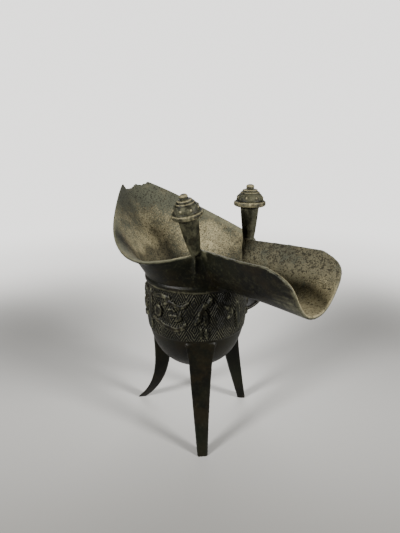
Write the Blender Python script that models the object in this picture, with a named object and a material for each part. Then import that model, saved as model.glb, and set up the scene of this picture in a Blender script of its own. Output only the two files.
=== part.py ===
# Bronze jue: a small three-legged wine vessel, cast as one piece.
# X runs along the spout, Y toward the handle, Z is up; the feet stand on Z = 0.
# Shapes are worked out about the bowl's axis, then set about the middle of the footprint.
import math

import bmesh
import bpy
from mathutils import Matrix, Vector

for old in list(bpy.data.objects):
    bpy.data.objects.remove(old, do_unlink=True)

# Driving dimensions, in millimetres and degrees
MM = 0.001

WALL = 2.1
BOWL_RADIUS = 33.4
BAND_PROUD = 0.6
POLE_HEIGHT = 46.3
BELLY_HEIGHT = 92.0
BAND_BOTTOM = 75.5
BAND_TOP = 108.4
NECK_RADIUS = 33.4
RING_PROUD = 0.9
RING_HEIGHT = 3.1

MOUTH_HALF_WIDTH = 50.6
MOUTH_SKEW = 0.9
TAIL_REACH = 79.5
TAIL_TIP_HEIGHT = 167.5
TAIL_KEEL_SPREAD = 6.0
LIP_LOW = 127.3
LIP_LOW_AZIMUTH = 80.0
LIP_AT_POST = 131.6
TAIL_LOST = 6.1

SPOUT_REACH = 95.3
SPOUT_HALF_WIDTH = 24.4
SPOUT_ROOT_HALF_WIDTH = 20.6
SPOUT_BOTTOM = 109.9
SPOUT_RIM_ROOT = 135.2
SPOUT_RIM_END = 138.4
SPOUT_LIP_CUTBACK = 16.0

POST_X = 25.0
COLUMN_TOP_WIDTH = 10.6
COLUMN_FOOT_WIDTH = 4.6
CAP_HEIGHT = 13.4

LEG_TOP = 73.5
LEG_BEND = 56.0
LEG_PROUD = 0.1
LEG_ROOT_WIDTH = 19.5
LEG_WAIST_WIDTH = 14.6
LEG_FOOT_WIDTH = 7.2
LEG_ROOT_DEPTH = 9.5
LEG_FOOT_DEPTH = 5.2

HANDLE_AZIMUTH = 83.0
HANDLE_TOP = 104.0
HANDLE_BOTTOM = 76.0
HANDLE_REACH = 57.5
HANDLE_WIDTH = 11.5
HANDLE_THICKNESS = 3.4

RELIEF_PROUD = 1.2
STROKE_SHARE = 0.11
EYE_SHARE = 0.134
EYE_SPREAD = 5.8

# Legs: azimuth, how far the foot curls out past the leg's face, and how late it curls
LEGS = (
    (-34.9, 13.4, 1.7),
    (81.6, 11.0, 1.15),
    (-158.0, 19.4, 2.95),
)

# Posts: side, lean of the column in degrees, column height, brim diameter
POSTS = (
    (-1, 13.6, 20.9, 17.6),
    (1, 0.0, 21.2, 19.4),
)

COLUMNS = 56
TAIL_CROWDING = 0.16
CAP_SIDES = 18
BOTTOM_ROWS = 6
FLARE_ROWS = 7


def smooth_step(low, high, value):
    t = min(max((value - low) / (high - low), 0.0), 1.0)
    return t * t * (3.0 - 2.0 * t)


def bezier(points, t):
    a, b, c, d = points
    s = 1.0 - t
    return tuple(
        s * s * s * a[i] + 3 * s * s * t * b[i] + 3 * s * t * t * c[i] + t * t * t * d[i]
        for i in range(2)
    )


def bezier_normal(points, t):
    a, b, c, d = points
    s = 1.0 - t
    slope = [
        3 * s * s * (b[i] - a[i]) + 6 * s * t * (c[i] - b[i]) + 3 * t * t * (d[i] - c[i])
        for i in range(2)
    ]
    length = math.hypot(*slope)
    return slope[1] / length, -slope[0] / length


def polar(radius, azimuth, height):
    a = math.radians(azimuth)
    return Vector((radius * math.cos(a), radius * math.sin(a), height))


def footprint_centre():
    # Midway between spout tip and broken tail, and between the handle and the lip facing it.
    return Vector((
        0.5 * (SPOUT_REACH - TAIL_REACH + TAIL_LOST),
        0.5 * (HANDLE_REACH - MOUTH_HALF_WIDTH - MOUTH_SKEW),
        0.0,
    ))


def make_object(name, points, faces, material=None):
    centre = footprint_centre()
    mesh = bpy.data.meshes.new(name)
    mesh.from_pydata([(Vector(p) - centre) * MM for p in points], [], faces)
    bm = bmesh.new()
    bm.from_mesh(mesh)
    bmesh.ops.recalc_face_normals(bm, faces=bm.faces)
    bm.to_mesh(mesh)
    bm.free()
    obj = bpy.data.objects.new(name, mesh)
    bpy.context.collection.objects.link(obj)
    if material:
        mesh.materials.append(material)
    return obj


def join_rings(rings, closed_ends=True):
    # Rings of equal length become a tube; each end is closed by one face.
    count = len(rings[0])
    points = [p for ring in rings for p in ring]
    faces = []
    for row in range(len(rings) - 1):
        for i in range(count):
            j = (i + 1) % count
            a = row * count
            faces.append((a + i, a + j, a + count + j, a + count + i))
    if closed_ends:
        last = (len(rings) - 1) * count
        faces.append(tuple(range(count)))
        faces.append(tuple(last + i for i in range(count)))
    return points, faces


def merge_parts(parts):
    points = []
    faces = []
    for part_points, part_faces in parts:
        base = len(points)
        points += list(part_points)
        faces += [tuple(base + i for i in face) for face in part_faces]
    return points, faces


# Bowl, mouth and tail

def bottom_curve():
    return (
        (0.0, POLE_HEIGHT),
        (0.68 * BOWL_RADIUS, POLE_HEIGHT),
        (BOWL_RADIUS, POLE_HEIGHT + 0.34 * (BELLY_HEIGHT - POLE_HEIGHT)),
        (BOWL_RADIUS, BELLY_HEIGHT),
    )


def bottom_share(height):
    # Place on the bottom curve that lies at a height, found by halving.
    curve = bottom_curve()
    low, high = 0.0, 1.0
    for _ in range(30):
        middle = 0.5 * (low + high)
        if bezier(curve, middle)[1] < height:
            low = middle
        else:
            high = middle
    return low


def bowl_radius_at(height):
    # Outer radius of the bowl without its band: egg-shaped below, drawn in a little at the neck.
    if height < BELLY_HEIGHT:
        return bezier(bottom_curve(), bottom_share(height))[0]
    share = (height - BELLY_HEIGHT) / (BAND_TOP - BELLY_HEIGHT)
    return BOWL_RADIUS + (NECK_RADIUS - BAND_PROUD - 0.3 - BOWL_RADIUS) * share * share


def rim_radius(azimuth):
    a = abs(azimuth)
    side = smooth_step(36.0, 98.0, a)
    from_tip = math.hypot(180.0 - a, TAIL_KEEL_SPREAD)
    w = max(90.0 - from_tip, 0.0) / (90.0 - TAIL_KEEL_SPREAD)
    tail = 0.28 * w ** 1.8 + 0.72 * w ** 5
    pressed = MOUTH_SKEW * side * (1.0 - tail)
    return (
        NECK_RADIUS + 0.9
        + (MOUTH_HALF_WIDTH - NECK_RADIUS - 0.9) * side
        + (TAIL_REACH - MOUTH_HALF_WIDTH) * tail
        - math.copysign(pressed, azimuth)
    )


def rim_height(azimuth):
    a = abs(azimuth)
    if a > LIP_LOW_AZIMUTH:
        w = (a - LIP_LOW_AZIMUTH) / (180.0 - LIP_LOW_AZIMUTH)
        return LIP_LOW + (TAIL_TIP_HEIGHT - LIP_LOW) * w ** 1.5
    w = min((LIP_LOW_AZIMUTH - a) / 40.0, 1.0)
    return LIP_LOW + (LIP_AT_POST - LIP_LOW) * w ** 1.3


def flare_curve(azimuth):
    # From the neck to the rim; the lip turns out flat at the sides and runs on straight at the tail.
    start = (NECK_RADIUS, BAND_TOP + RING_HEIGHT)
    end = (rim_radius(azimuth), rim_height(azimuth))
    run = end[0] - start[0]
    rise = end[1] - start[1]
    upturn = 0.05 + 0.33 * smooth_step(100.0, 165.0, abs(azimuth))
    lip = 0.44 - 0.08 * smooth_step(100.0, 165.0, abs(azimuth))
    return (
        start,
        (start[0] + 0.12 * run, start[1] + 0.15 * rise),
        (end[0] - lip * run, end[1] - upturn * rise),
        end,
    )


def column_azimuths():
    # Even at the bowl, crowded toward the tail, symmetrical about the spout's plane.
    half = COLUMNS // 2
    result = []
    for i in range(-half, half):
        share = abs(i) / half
        azimuth = 180.0 * (share + TAIL_CROWDING * math.sin(math.pi * share))
        result.append(math.copysign(azimuth, i))
    return result


def bowl_rings():
    ring = NECK_RADIUS + RING_PROUD
    belly = [(bowl_radius_at(BAND_BOTTOM), BAND_BOTTOM)]
    for share in (0.01, 0.25, 0.5, 0.75, 1.0):
        z = BAND_BOTTOM + share * (BAND_TOP - BAND_BOTTOM)
        belly.append((bowl_radius_at(z) + BAND_PROUD, z))
    belly += [
        (ring, BAND_TOP + 0.15 * RING_HEIGHT),
        (ring, BAND_TOP + 0.38 * RING_HEIGHT),
        (ring - 0.5, BAND_TOP + 0.5 * RING_HEIGHT),
        (ring, BAND_TOP + 0.62 * RING_HEIGHT),
        (ring - 0.1, BAND_TOP + 0.85 * RING_HEIGHT),
    ]
    azimuths = column_azimuths()
    bottom = bottom_curve()
    band_share = bottom_share(BAND_BOTTOM)
    rings = []
    for row in range(1, BOTTOM_ROWS):
        r, z = bezier(bottom, band_share * row / BOTTOM_ROWS)
        rings.append([polar(r, a, z) for a in azimuths])
    for r, z in belly:
        rings.append([polar(r, a, z) for a in azimuths])
    curves = [flare_curve(a) for a in azimuths]
    for row in range(FLARE_ROWS + 1):
        t = row / FLARE_ROWS
        rings.append([polar(*swap(bezier(c, t), a)) for c, a in zip(curves, azimuths)])
    crest = []
    for c, a in zip(curves, azimuths):
        n = bezier_normal(c, 1.0)
        r, z = c[3]
        crest.append(polar(r - 0.5 * WALL * n[0] - 0.3 * n[1], a, z - 0.5 * WALL * n[1] + 0.3 * n[0]))
    rings.append(crest)
    for row in range(FLARE_ROWS, -1, -1):
        t = row / FLARE_ROWS
        inner = []
        for c, a in zip(curves, azimuths):
            n = bezier_normal(c, t)
            r, z = bezier(c, t)
            inner.append(polar(r - WALL * n[0], a, z - WALL * n[1]))
        rings.append(inner)
    for share in (0.9, 0.5, 0.0):
        z = BAND_BOTTOM + share * (BAND_TOP - BAND_BOTTOM)
        rings.append([polar(bowl_radius_at(z) - WALL, a, z) for a in azimuths])
    for row in range(BOTTOM_ROWS - 1, 0, -1):
        t = band_share * row / BOTTOM_ROWS
        r, z = bezier(bottom, t)
        n = bezier_normal(bottom, t)
        rings.append([polar(r - WALL * n[0], a, z - WALL * n[1]) for a in azimuths])
    return rings


def swap(point, azimuth):
    return point[0], azimuth, point[1]


def make_bowl(material):
    rings = bowl_rings()
    points, faces = join_rings(rings, closed_ends=False)
    count = len(rings[0])
    last = (len(rings) - 1) * count
    outer_pole = len(points)
    points.append(Vector((0.0, 0.0, POLE_HEIGHT)))
    points.append(Vector((0.0, 0.0, POLE_HEIGHT + WALL)))
    for i in range(count):
        j = (i + 1) % count
        faces.append((j, i, outer_pole))
        faces.append((last + i, last + j, outer_pole + 1))
    return make_object("jue_vessel", points, faces, material)


# Spout

def spout_half_width(x):
    share = smooth_step(POST_X, 0.78 * SPOUT_REACH, x)
    return SPOUT_ROOT_HALF_WIDTH + (SPOUT_HALF_WIDTH - SPOUT_ROOT_HALF_WIDTH) * share


def spout_rim(x):
    share = min(max((x - POST_X) / (SPOUT_REACH - POST_X), 0.0), 1.0)
    return SPOUT_RIM_ROOT + (SPOUT_RIM_END - SPOUT_RIM_ROOT) * share


def spout_section(x, inset, steps=10):
    # Trough section from the near rim under the channel to the far rim, as (y, z) pairs.
    # It is a deep U at the bowl and opens to a parabola at the end.
    half = spout_half_width(x) - inset
    floor = SPOUT_BOTTOM + inset
    rim = spout_rim(x)
    fullness = 0.27 + 0.15 * smooth_step(POST_X, 0.78 * SPOUT_REACH, x)
    section = []
    for i in range(-steps, steps + 1):
        # The points crowd at the bottom bend and at the rim's rounded corner.
        rise = math.sin(0.5 * math.pi * abs(i) / steps) ** 2.1
        section.append((math.copysign(half * rise ** fullness, i), floor + (rim - floor) * rise))
    return section


def spout_end(z):
    share = min(max((z - SPOUT_BOTTOM) / (SPOUT_RIM_END - SPOUT_BOTTOM), 0.0), 1.0)
    return SPOUT_REACH - SPOUT_LIP_CUTBACK * share ** 8


def spout_sheet(inset, root_radius, stations=9):
    # Rows of points from the bowl's wall to the lip, at one depth in the wall.
    rows = []
    for k in range(stations + 1):
        share = k / stations
        guess = POST_X + (SPOUT_REACH - POST_X) * share
        row = []
        for y, z in spout_section(guess, inset):
            root = math.sqrt(max(root_radius ** 2 - y * y, 1.0))
            x = root + (spout_end(z) - root) * share
            row.append(Vector((x, y, z)))
        rows.append(row)
    return rows


def make_spout():
    root = NECK_RADIUS - WALL + 0.2
    outer = spout_sheet(0.0, root)
    inner = spout_sheet(WALL, root)
    rings = [o + i[::-1] for o, i in zip(outer, inner)]
    points, faces = join_rings(rings)
    return make_object("spout", points, faces)


def make_spout_opening():
    # The channel's hollow, carried back into the bowl and up past the rim.
    inset = 0.5 * WALL
    back = 8.0
    front = NECK_RADIUS + 12.0
    top = SPOUT_RIM_END + 20.0
    rings = []
    for x in (back, POST_X, front):
        section = spout_section(x, inset)
        section = [(section[0][0], top)] + section + [(section[-1][0], top)]
        rings.append([Vector((x, y, z)) for y, z in section])
    points, faces = join_rings(rings)
    return make_object("spout_opening", points, faces)


def make_tail_break():
    # The tail's point is broken away: a ragged edge, seen from above, between the two rims.
    edge = (
        (-0.940, -30.0), (-0.946, -12.5), (-0.970, -8.5), (-0.990, -3.0), (-1.000, 0.5),
        (-0.992, 4.0), (-0.985, 6.8), (-0.965, 7.4), (-0.972, 10.5), (-0.960, 30.0),
    )
    reach = TAIL_REACH - TAIL_LOST
    outline = [(reach * x, y) for x, y in edge]
    outline += [(-TAIL_REACH - 30.0, 30.0), (-TAIL_REACH - 30.0, -30.0)]
    rings = [[Vector((x, y, z)) for x, y in outline] for z in (BAND_TOP + 12.0, TAIL_TIP_HEIGHT + 30.0)]
    points, faces = join_rings(rings)
    return make_object("tail_break", points, faces)


# Legs

def leg_face(height, curl, lateness):
    # The flat outer face is flush with the bowl at the leg's top.
    return bowl_radius_at(LEG_TOP) + LEG_PROUD + curl * max(1.0 - height / LEG_BEND, 0.0) ** lateness


def leg_width(height):
    waist = LEG_FOOT_WIDTH + (LEG_WAIST_WIDTH - LEG_FOOT_WIDTH) * min(height / (0.75 * LEG_TOP), 1.0)
    flare = smooth_step(0.72 * LEG_TOP, LEG_TOP, height) ** 1.3
    return waist + (LEG_ROOT_WIDTH - LEG_WAIST_WIDTH) * flare


def leg_depth(height):
    share = min(height / (0.62 * LEG_TOP), 1.0)
    return LEG_FOOT_DEPTH + (LEG_ROOT_DEPTH - LEG_FOOT_DEPTH) * share


def leg_mesh(azimuth, curl, lateness):
    # Flat outer face, bevelled edges and a ridge on the inside that ends in the bowl's wall.
    turn = Matrix.Rotation(math.radians(azimuth), 3, "Z")
    rings = []
    for share in (0.0, 0.07, 0.16, 0.27, 0.39, 0.52, 0.64, 0.74, 0.84, 0.93, 1.0):
        z = LEG_TOP * share
        face = leg_face(z, curl, lateness)
        half = 0.5 * leg_width(z)
        ridge = face - leg_depth(z)
        if z > POLE_HEIGHT:
            ridge = max(ridge, bowl_radius_at(z) - 0.55 * WALL)
        blunt = 0.09 * leg_width(z)
        shoulder = face - 0.32 * (face - ridge)
        section = (
            (face, -half + 0.8), (face, half - 0.8), (face - 1.2, half),
            (shoulder, 0.86 * half), (ridge, blunt), (ridge, -blunt),
            (shoulder, -0.86 * half), (face - 1.2, -half),
        )
        rings.append([turn @ Vector((x, y, z)) for x, y in section])
    return join_rings(rings)


# Posts

def cap_profile(radius):
    # Brim, dome, two steps and a knob: radius, and height as a share of the cap.
    return (
        (0.40 * radius, -0.02), (0.90 * radius, 0.02), (radius, 0.10), (0.94 * radius, 0.18),
        (0.80 * radius, 0.21), (0.76 * radius, 0.36), (0.66 * radius, 0.50), (0.54 * radius, 0.60),
        (0.52 * radius, 0.68), (0.40 * radius, 0.70), (0.37 * radius, 0.78), (0.26 * radius, 0.80),
        (0.26 * radius, 0.92), (0.14 * radius, 1.0),
    )


def post_mesh(side, lean, height, brim):
    foot = Vector((POST_X + 0.6, side * (SPOUT_ROOT_HALF_WIDTH + 1.3), SPOUT_RIM_ROOT - 2.5))
    tilt = Matrix.Rotation(-side * math.radians(lean), 3, "X")
    length = height + 2.5
    column = []
    for share in (0.0, 0.12, 0.35, 1.0):
        half = 0.5 * (COLUMN_FOOT_WIDTH + (COLUMN_TOP_WIDTH - COLUMN_FOOT_WIDTH) * share ** 0.6)
        cut = 0.55 * half
        section = (
            (half, -cut), (half, cut), (cut, half), (-cut, half),
            (-half, cut), (-half, -cut), (-cut, -half), (cut, -half),
        )
        column.append([foot + tilt @ Vector((x, y, share * length)) for x, y in section])
    cap = []
    for r, share in cap_profile(0.5 * brim):
        z = length - 0.4 + share * CAP_HEIGHT
        cap.append([foot + tilt @ polar(r, 360.0 * i / CAP_SIDES, z) for i in range(CAP_SIDES)])
    return join_rings(column), join_rings(cap)


def buttress_mesh(side):
    # Wedge that carries the post's foot down the corner between the spout and the lip.
    corner = Vector((POST_X - 0.4, side * (SPOUT_ROOT_HALF_WIDTH + 0.3), SPOUT_RIM_ROOT))
    out = Vector((0.3, side, 0.0)).normalized()
    along = Vector((-out.y, out.x, 0.0))
    rings = []
    for drop, half, proud in ((-0.7, 2.7, 2.9), (6.3, 3.3, 3.3), (13.7, 2.6, 2.6), (17.2, 1.1, 1.3)):
        centre = corner - Vector((0.0, 0.0, drop))
        rings.append([
            centre - along * half - out * 1.4, centre + along * half - out * 1.4,
            centre + along * 0.45 * half + out * proud, centre - along * 0.45 * half + out * proud,
        ])
    return join_rings(rings)


# Handle

def handle_path(steps=14):
    # C-shaped strap in the plane through the axis, as (radius, height) with its outward normal.
    # Both ends stop inside the bowl's wall at their own height.
    upper = bowl_radius_at(HANDLE_TOP) - 0.4 * WALL
    lower = bowl_radius_at(HANDLE_BOTTOM) - 0.4 * WALL
    middle = 0.5 * (HANDLE_TOP + HANDLE_BOTTOM)
    rise = 0.5 * (HANDLE_TOP - HANDLE_BOTTOM)
    path = []
    for i in range(steps + 1):
        angle = math.pi * (0.5 - i / steps)
        c = math.copysign(abs(math.cos(angle)) ** 0.75, math.cos(angle))
        s = math.copysign(abs(math.sin(angle)) ** 0.75, math.sin(angle))
        root = 0.5 * (upper + lower) + 0.5 * (upper - lower) * s
        reach = HANDLE_REACH - root - 0.5 * HANDLE_THICKNESS
        path.append((root + reach * c, middle + rise * s))
    return path


def handle_mesh():
    turn = Matrix.Rotation(math.radians(HANDLE_AZIMUTH), 3, "Z")
    path = handle_path()
    rings = []
    for i, (r, z) in enumerate(path):
        before = path[max(i - 1, 0)]
        after = path[min(i + 1, len(path) - 1)]
        slope = Vector((after[0] - before[0], 0.0, after[1] - before[1])).normalized()
        out = Vector((-slope.z, 0.0, slope.x))
        half = 0.5 * HANDLE_WIDTH
        deep = 0.5 * HANDLE_THICKNESS
        section = (
            (-half, -0.5 * deep), (-0.8 * half, -deep), (0.8 * half, -deep), (half, -0.5 * deep),
            (half, 0.3 * deep), (0.7 * half, deep), (-0.7 * half, deep), (-half, 0.3 * deep),
        )
        centre = Vector((r, 0.0, z))
        rings.append([turn @ (centre + Vector((0.0, y, 0.0)) + out * d) for y, d in section])
    return join_rings(rings)


# Relief

def on_band(azimuth, height, proud):
    return polar(bowl_radius_at(height) + BAND_PROUD + proud, azimuth, height)


def stroke_mesh(route, width, centre=0.0, mirror=1):
    # A raised stroke along (degrees from the centre line, height), narrowed at both ends.
    line = [(centre + mirror * a, z) for a, z in route]
    degree = math.radians(1.0) * BOWL_RADIUS
    flat = [(a * degree, z) for a, z in line]
    rings = []
    last = len(flat) - 1
    for i, (u, z) in enumerate(flat):
        before = flat[max(i - 1, 0)]
        after = flat[min(i + 1, last)]
        du, dz = after[0] - before[0], after[1] - before[1]
        length = math.hypot(du, dz)
        across = (-dz / length, du / length)
        share = 0.55 if i in (0, last) else 1.0
        ring = []
        for offset, proud in ((-0.5, -1.0), (0.5, -1.0), (0.32, RELIEF_PROUD), (-0.32, RELIEF_PROUD)):
            shift = offset * width * share
            azimuth = (u + across[0] * shift) / degree
            ring.append(on_band(azimuth, z + across[1] * shift, proud))
        rings.append(ring)
    return join_rings(rings)


def eye_mesh(centre, mirror, height):
    # The mask's eye: a rounded boss.
    tall = EYE_SHARE * (BAND_TOP - BAND_BOTTOM)
    middle = centre + mirror * 14.0
    rings = []
    for share, proud in ((1.0, -1.0), (1.0, 0.5), (0.72, RELIEF_PROUD + 0.4)):
        ring = []
        for i in range(10):
            angle = 2.0 * math.pi * i / 10
            azimuth = middle + EYE_SPREAD * share * math.cos(angle)
            ring.append(on_band(azimuth, height + tall * share * math.sin(angle), proud))
        rings.append(ring)
    return join_rings(rings)


# One half of the animal mask: degrees from its nose, and height as a share of the band
HALF_MASK = (
    ((6.0, 0.84), (16.0, 0.88), (27.0, 0.88)),
    ((5.0, 0.36), (15.0, 0.34), (24.5, 0.29), (34.0, 0.25), (44.0, 0.30), (47.5, 0.39)),
    ((27.0, 0.68), (33.0, 0.72), (40.0, 0.69), (47.0, 0.72), (51.5, 0.81)),
    ((42.0, 0.59), (41.5, 0.49), (36.5, 0.42), (30.5, 0.50)),
    ((73.5, 0.84), (70.0, 0.75), (65.0, 0.70), (63.5, 0.55), (58.5, 0.41)),
    ((70.5, 0.55), (70.0, 0.38), (68.0, 0.28)),
)


def relief_parts():
    span = BAND_TOP - BAND_BOTTOM
    width = STROKE_SHARE * span
    parts = []
    for centre in (HANDLE_AZIMUTH - 180.0, HANDLE_AZIMUTH):
        for mirror in (-1, 1):
            for route in HALF_MASK:
                line = [(a, BAND_BOTTOM + share * span) for a, share in route]
                parts.append(stroke_mesh(line, width, centre, mirror))
            parts.append(eye_mesh(centre, mirror, BAND_BOTTOM + 0.57 * span))
    nose = [(0.0, BAND_BOTTOM + share * span) for share in (0.12, 0.5, 0.92)]
    parts.append(stroke_mesh(nose, width, HANDLE_AZIMUTH - 180.0))
    return parts


def add_boolean(target, tool, operation):
    tool.hide_render = True
    tool.display_type = "WIRE"
    modifier = target.modifiers.new(tool.name, "BOOLEAN")
    modifier.operation = operation
    modifier.solver = "EXACT"
    modifier.object = tool


bronze = bpy.data.materials.new("patinated_bronze")
bronze.use_nodes = True
shader = bronze.node_tree.nodes["Principled BSDF"]
shader.inputs["Base Color"].default_value = (0.075, 0.075, 0.055, 1.0)
shader.inputs["Roughness"].default_value = 0.6
shader.inputs["Metallic"].default_value = 0.6

vessel = make_bowl(bronze)
add_boolean(vessel, make_spout_opening(), "DIFFERENCE")
add_boolean(vessel, make_tail_break(), "DIFFERENCE")
add_boolean(vessel, make_spout(), "UNION")

legs = merge_parts([leg_mesh(*leg) for leg in LEGS])
add_boolean(vessel, make_object("legs", *legs), "UNION")

columns, caps = zip(*(post_mesh(*post) for post in POSTS))
add_boolean(vessel, make_object("columns", *merge_parts(columns)), "UNION")
add_boolean(vessel, make_object("caps", *merge_parts(caps)), "UNION")
buttresses = merge_parts([buttress_mesh(post[0]) for post in POSTS])
add_boolean(vessel, make_object("buttresses", *buttresses), "UNION")

add_boolean(vessel, make_object("handle", *handle_mesh()), "UNION")
add_boolean(vessel, make_object("relief", *merge_parts(relief_parts())), "UNION")

vessel.data.shade_smooth()
vessel.data.set_sharp_from_angle(angle=math.radians(35.0))
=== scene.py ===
import math
import bpy
import numpy as np
from mathutils import Matrix, Vector
from mathutils.bvhtree import BVHTree


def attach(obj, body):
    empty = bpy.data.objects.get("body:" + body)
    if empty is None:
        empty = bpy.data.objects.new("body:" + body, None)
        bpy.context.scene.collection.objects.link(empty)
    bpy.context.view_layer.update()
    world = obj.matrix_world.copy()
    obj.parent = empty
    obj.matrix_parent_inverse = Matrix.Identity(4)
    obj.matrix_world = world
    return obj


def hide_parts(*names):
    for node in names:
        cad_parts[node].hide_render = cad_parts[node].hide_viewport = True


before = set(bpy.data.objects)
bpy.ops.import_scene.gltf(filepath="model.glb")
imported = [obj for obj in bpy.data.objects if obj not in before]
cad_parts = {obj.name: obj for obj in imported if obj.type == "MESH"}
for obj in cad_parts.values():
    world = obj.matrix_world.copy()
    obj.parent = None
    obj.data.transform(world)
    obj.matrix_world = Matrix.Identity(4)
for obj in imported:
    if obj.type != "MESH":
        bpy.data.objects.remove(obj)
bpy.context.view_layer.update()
bpy.ops.object.select_all(action="DESELECT")

# Sizes are in millimetres about the bowl's own axis, spout along +X, handle toward +Y.
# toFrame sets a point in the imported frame, whose origin is the middle of the footprint.
axisPlace = Vector((0.01095, 0.0030, 0.0))


def toFrame(x, y, z):
    return Vector((x, y, z)) * 0.001 - axisPlace


# Camera, set where the photograph was taken from

shot = {
    "place": (0.20892, -0.1723, 0.200),
    "looks": (-0.73059, 0.61304, -0.30071),
    "lens": 28.84,
}

camera = bpy.data.objects.new("camera", bpy.data.cameras.new("camera"))
bpy.context.collection.objects.link(camera)
camera.location = Vector(shot["place"]) - axisPlace
camera.rotation_euler = Vector(shot["looks"]).to_track_quat("-Z", "Y").to_euler()
camera.data.lens = shot["lens"]
camera.data.sensor_width = 36
camera.data.clip_start = 0.01
bpy.context.scene.camera = camera


# Helpers for modelling

def softStep(low, high, value):
    t = min(max((value - low) / (high - low), 0.0), 1.0)
    return t * t * (3.0 - 2.0 * t)


def curveAt(points, t):
    a, b, c, d = points
    s = 1.0 - t
    return tuple(
        s * s * s * a[i] + 3 * s * s * t * b[i] + 3 * s * t * t * c[i] + t * t * t * d[i]
        for i in range(2)
    )


def curveNormal(points, t):
    a, b, c, d = points
    s = 1.0 - t
    slope = [
        3 * s * s * (b[i] - a[i]) + 6 * s * t * (c[i] - b[i]) + 3 * t * t * (d[i] - c[i])
        for i in range(2)
    ]
    size = math.hypot(*slope) or 1.0
    return slope[1] / size, -slope[0] / size


def aroundAxis(radius, azimuth, height):
    a = math.radians(azimuth)
    return Vector((radius * math.cos(a), radius * math.sin(a), height))


def wrapGrid(name, rings, closeEnds=True):
    # A flat grid is added and each of its points moved to its place in the rings.
    count = len(rings[0])
    bpy.ops.mesh.primitive_grid_add(
        x_subdivisions=count, y_subdivisions=len(rings) - 1, size=2
    )
    piece = bpy.context.object
    piece.name = name
    last = len(rings) - 1
    for vertex in piece.data.vertices:
        column = round((vertex.co.x + 1) * 0.5 * count) % count
        row = round((vertex.co.y + 1) * 0.5 * last)
        vertex.co = toFrame(*rings[row][column])
    bpy.ops.object.mode_set(mode="EDIT")
    bpy.ops.mesh.select_all(action="SELECT")
    bpy.ops.mesh.remove_doubles(threshold=0.000002)
    if closeEnds:
        bpy.ops.mesh.fill_holes(sides=0)
    bpy.ops.mesh.select_all(action="SELECT")
    bpy.ops.mesh.normals_make_consistent(inside=False)
    bpy.ops.object.mode_set(mode="OBJECT")
    piece.select_set(False)
    return piece


def applyModifier(piece, kind, **settings):
    modifier = piece.modifiers.new(kind.lower(), kind)
    for key, value in settings.items():
        setattr(modifier, key, value)
    bpy.context.view_layer.objects.active = piece
    bpy.ops.object.modifier_apply(modifier=modifier.name)


def cutAway(piece, cutter):
    applyModifier(piece, "BOOLEAN", operation="DIFFERENCE", solver="EXACT", object=cutter)
    bpy.data.objects.remove(cutter, do_unlink=True)


# Bowl, mouth and tail

bowl = {
    "wall": 2.1,
    "radius": 33.4,
    "poleHeight": 46.3,
    "bellyHeight": 92.0,
    "bandBottom": 75.5,
    "bandTop": 108.4,
    "bandProud": 0.6,
    "neckRadius": 33.4,
    "ringProud": 0.9,
    "ringHeight": 3.1,
    "columns": 300,
}

mouth = {
    "halfWidth": 50.6,
    "skew": 0.9,
    "tailReach": 79.5,
    "tailLost": 6.1,
    "tailHeight": 167.5,
    "keelSpread": 6.0,
    "lipLow": 127.3,
    "lipLowAzimuth": 80.0,
    "lipAtPost": 131.6,
}

bottomCurve = (
    (0.0, bowl["poleHeight"]),
    (0.68 * bowl["radius"], bowl["poleHeight"]),
    (bowl["radius"], bowl["poleHeight"] + 0.34 * (bowl["bellyHeight"] - bowl["poleHeight"])),
    (bowl["radius"], bowl["bellyHeight"]),
)


def bottomShare(height):
    low, high = 0.0, 1.0
    for _ in range(30):
        middle = 0.5 * (low + high)
        if curveAt(bottomCurve, middle)[1] < height:
            low = middle
        else:
            high = middle
    return low


def bowlRadius(height):
    if height < bowl["bellyHeight"]:
        return curveAt(bottomCurve, bottomShare(height))[0]
    share = (height - bowl["bellyHeight"]) / (bowl["bandTop"] - bowl["bellyHeight"])
    return bowl["radius"] + (bowl["neckRadius"] - bowl["bandProud"] - 0.3 - bowl["radius"]) * share ** 2


def rimRadius(azimuth):
    a = abs(azimuth)
    side = softStep(36.0, 98.0, a)
    fromTip = math.hypot(180.0 - a, mouth["keelSpread"])
    w = max(90.0 - fromTip, 0.0) / (90.0 - mouth["keelSpread"])
    tail = 0.28 * w ** 1.8 + 0.72 * w ** 5
    pressed = mouth["skew"] * side * (1.0 - tail)
    neck = bowl["neckRadius"] + 0.9
    return (
        neck + (mouth["halfWidth"] - neck) * side + (mouth["tailReach"] - mouth["halfWidth"]) * tail
        - math.copysign(pressed, azimuth)
    )


def rimHeight(azimuth):
    a = abs(azimuth)
    if a > mouth["lipLowAzimuth"]:
        w = (a - mouth["lipLowAzimuth"]) / (180.0 - mouth["lipLowAzimuth"])
        return mouth["lipLow"] + (mouth["tailHeight"] - mouth["lipLow"]) * w ** 1.5
    w = min((mouth["lipLowAzimuth"] - a) / 40.0, 1.0)
    return mouth["lipLow"] + (mouth["lipAtPost"] - mouth["lipLow"]) * w ** 1.3


def flareCurve(azimuth):
    start = (bowl["neckRadius"], bowl["bandTop"] + bowl["ringHeight"])
    end = (rimRadius(azimuth), rimHeight(azimuth))
    run = end[0] - start[0]
    rise = end[1] - start[1]
    upturn = 0.05 + 0.33 * softStep(100.0, 165.0, abs(azimuth))
    lip = 0.44 - 0.08 * softStep(100.0, 165.0, abs(azimuth))
    return (
        start,
        (start[0] + 0.12 * run, start[1] + 0.15 * rise),
        (end[0] - lip * run, end[1] - upturn * rise),
        end,
    )


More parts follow.
